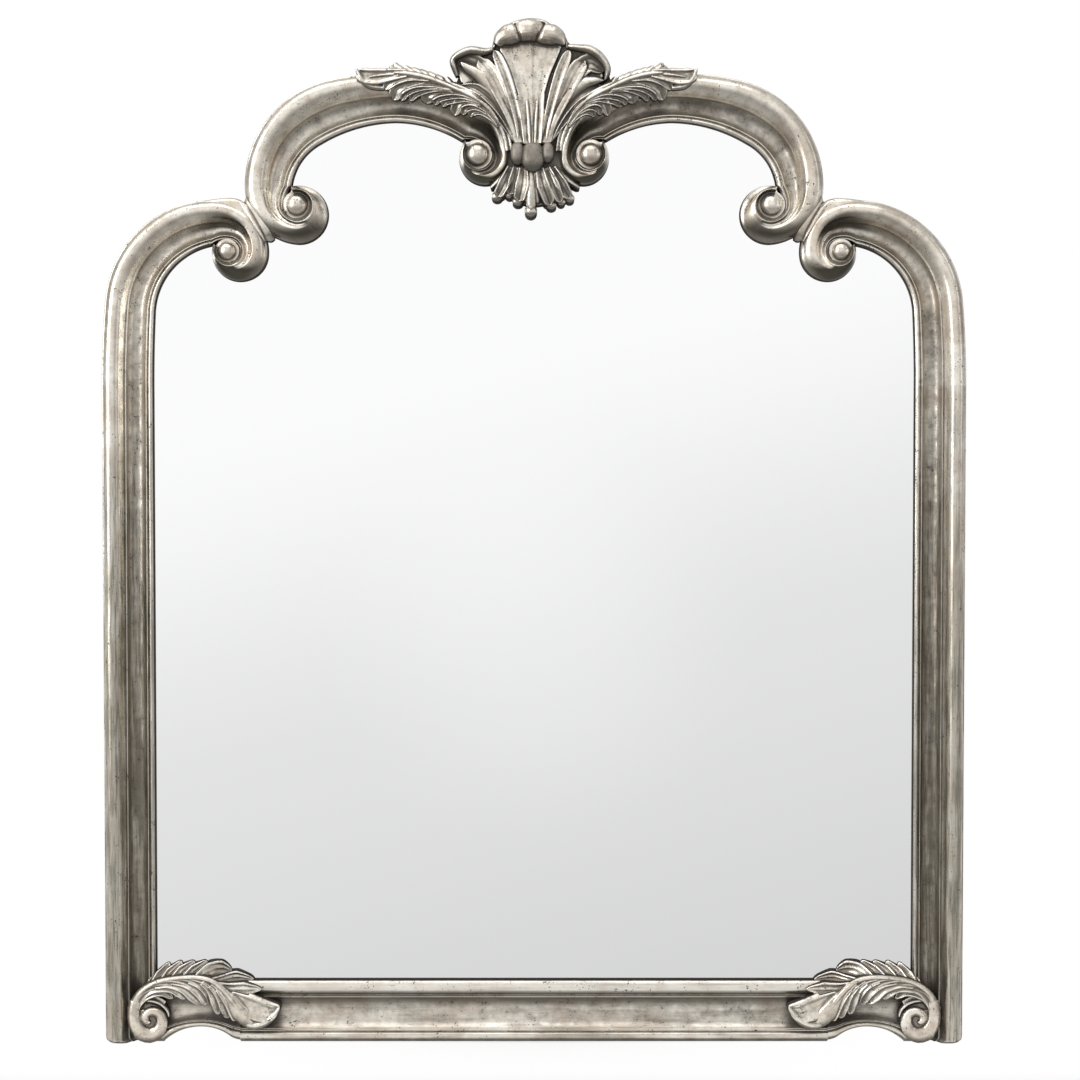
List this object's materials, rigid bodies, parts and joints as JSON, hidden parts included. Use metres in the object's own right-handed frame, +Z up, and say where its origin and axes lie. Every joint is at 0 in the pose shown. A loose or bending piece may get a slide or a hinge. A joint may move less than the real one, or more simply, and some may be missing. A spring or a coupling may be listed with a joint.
{
  "type": "overmantel mirror",
  "caption": "Tall overmantel mirror in a carved silver-leafed frame with volute shoulders, two top arches, a fluted shell crest and leafy corner scrolls.",
  "frame": {"origin": "middle of the bottom edge of the frame's back plane, where the back meets the mantel", "axes": "+Z up along the frame's height, +X to the viewer's right, +Y backwards into the wall; the carved front faces -Y"},
  "size_m": [1.07, 0.081, 1.27],
  "materials": {
    "silver_leaf": "silver leaf over a warm ground, rubbed and toned dark in the hollows",
    "mirror_plate": "silvered float glass, plain edge",
    "hardboard": "brown hardboard",
    "bare_wood": "unfinished hardwood",
    "steel": "zinc-plated",
    "rubber_pad": "soft black"
  },
  "bodies": {
    "frame": {"arch_tenons": "bare_wood", "backing_board": "hardboard", "bottom_rail": "silver_leaf", "crest_block": "silver_leaf", "crest_screws": "steel", "crest_shell": "silver_leaf", "crest_tenons": "bare_wood", "glazing_points": "steel", "hanger_screws": "steel", "left_acanthus": "silver_leaf", "left_arch": "silver_leaf", "left_corner_leaf": "silver_leaf", "left_corner_scroll": "silver_leaf", "left_hanger_strap": "steel", "left_shoulder": "silver_leaf", "left_stile": "silver_leaf", "mirror_glass": "mirror_plate", "pendant_palmette": "silver_leaf", "rail_tenons": "bare_wood", "right_acanthus": "silver_leaf", "right_arch": "silver_leaf", "right_corner_leaf": "silver_leaf", "right_corner_scroll": "silver_leaf", "right_hanger_strap": "steel", "right_shoulder": "silver_leaf", "right_stile": "silver_leaf", "shell_collar": "silver_leaf", "shoulder_tenons": "bare_wood", "wall_bumpers": "rubber_pad"},
    "ring_left": {"left_ring": "steel"},
    "ring_right": {"right_ring": "steel"}
  },
  "joints": [
    {"name": "left_ring_hinge", "type": "hinge", "parent": "frame", "child": "ring_left", "pos_m": [-0.509, 0.0042, 0.79], "axis": [1, 0, 0], "range_deg": [0, 180]},
    {"name": "right_ring_hinge", "type": "hinge", "parent": "frame", "child": "ring_right", "pos_m": [0.509, 0.0042, 0.79], "axis": [1, 0, 0], "range_deg": [0, 180]}
  ]
}
